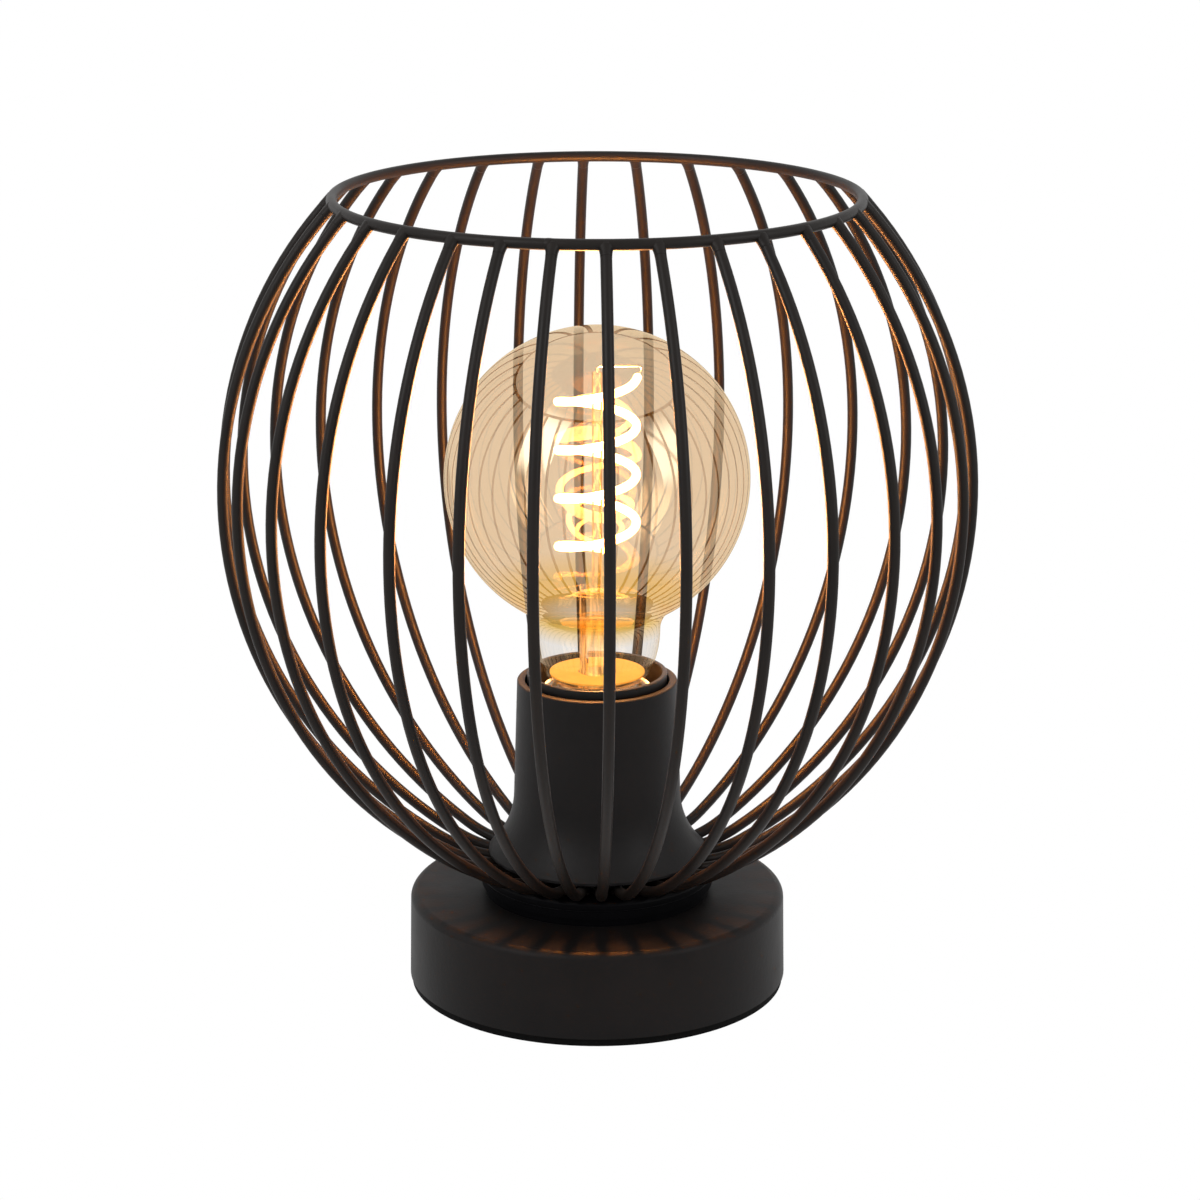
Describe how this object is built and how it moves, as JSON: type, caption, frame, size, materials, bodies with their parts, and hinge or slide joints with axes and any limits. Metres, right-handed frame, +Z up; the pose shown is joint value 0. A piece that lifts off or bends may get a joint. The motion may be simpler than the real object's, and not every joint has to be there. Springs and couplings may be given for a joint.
{
  "type": "table lamp",
  "caption": "Table lamp with a round open cage of bent black wires, a drum base, a flared holder cover and a globe bulb with a spiral filament that screws in and out.",
  "frame": {"origin": "centre of the foot pad's underside, on the surface that the lamp stands on", "axes": "+Z up through the bulb and the holder, +Y to the back, where the cord inlet is, +X to the right seen from the front"},
  "size_m": [0.2345, 0.2347, 0.2538],
  "materials": {
    "cage_paint": "satin",
    "base_paint": "satin",
    "cover_paint": "satin",
    "foot_rubber": "matte",
    "zinc_steel": "satin",
    "block_plastic": "matte",
    "live_insulation": "matte",
    "neutral_insulation": "matte",
    "holder_plastic": "gloss",
    "contact_brass": "satin",
    "amber_glass": "gloss",
    "clear_glass": "gloss",
    "filament_coat": "satin",
    "cap_nickel": "satin",
    "cap_black": "gloss",
    "board_green": "matte",
    "disc_yellow": "matte"
  },
  "bodies": {
    "lamp": {"foot_pad": "foot_rubber", "bottom_plate": "zinc_steel", "bottom_plate_screws": "zinc_steel", "base_drum": "base_paint", "cord_grommet": "foot_rubber", "terminal_block": "block_plastic", "lead_live": "live_insulation", "lead_neutral": "neutral_insulation", "nipple": "zinc_steel", "nipple_nuts": "zinc_steel", "lock_washers": "zinc_steel", "cage_plate": "cage_paint", "top_ring": "cage_paint", "holder_cover": "cover_paint", "holder_cap": "holder_plastic", "holder_sleeve": "holder_plastic", "holder_insert": "holder_plastic", "screw_shell": "contact_brass", "centre_contact": "contact_brass", "shell_contact": "contact_brass", "terminal_screws": "zinc_steel", "cage_wire_01": "cage_paint", "cage_wire_02": "cage_paint", "cage_wire_03": "cage_paint", "cage_wire_04": "cage_paint", "cage_wire_05": "cage_paint", "cage_wire_06": "cage_paint", "cage_wire_07": "cage_paint", "cage_wire_08": "cage_paint", "cage_wire_09": "cage_paint", "cage_wire_10": "cage_paint", "cage_wire_11": "cage_paint", "cage_wire_12": "cage_paint", "cage_wire_13": "cage_paint", "cage_wire_14": "cage_paint", "cage_wire_15": "cage_paint", "cage_wire_16": "cage_paint", "cage_wire_17": "cage_paint", "cage_wire_18": "cage_paint", "cage_wire_19": "cage_paint", "cage_wire_20": "cage_paint", "cage_wire_21": "cage_paint", "cage_wire_22": "cage_paint", "cage_wire_23": "cage_paint", "cage_wire_24": "cage_paint", "cage_wire_25": "cage_paint", "cage_wire_26": "cage_paint", "cage_wire_27": "cage_paint", "cage_wire_28": "cage_paint", "cage_wire_29": "cage_paint", "cage_wire_30": "cage_paint"},
    "bulb_seat": {"cap_contact": "contact_brass"},
    "bulb": {"bulb_glass": "amber_glass", "bulb_stem": "clear_glass", "neck_disc": "disc_yellow", "bulb_filament": "filament_coat", "filament_leads": "zinc_steel", "bulb_cap": "cap_nickel", "cap_insulator": "cap_black", "driver_board": "board_green"}
  },
  "joints": [
    {"name": "bulb_lift", "type": "slide", "parent": "lamp", "child": "bulb_seat", "axis": [0, 0, 1], "range_m": [0, 0.0127]},
    {"name": "bulb_turn", "type": "hinge", "parent": "bulb_seat", "child": "bulb", "pos_m": [0, 0, 0], "axis": [0, 0, 1], "range_deg": [0, 1261]}
  ],
  "couplings": [
    {"joint": "bulb_turn", "follows": "bulb_lift", "rad_per_m": 1731.6}
  ]
}
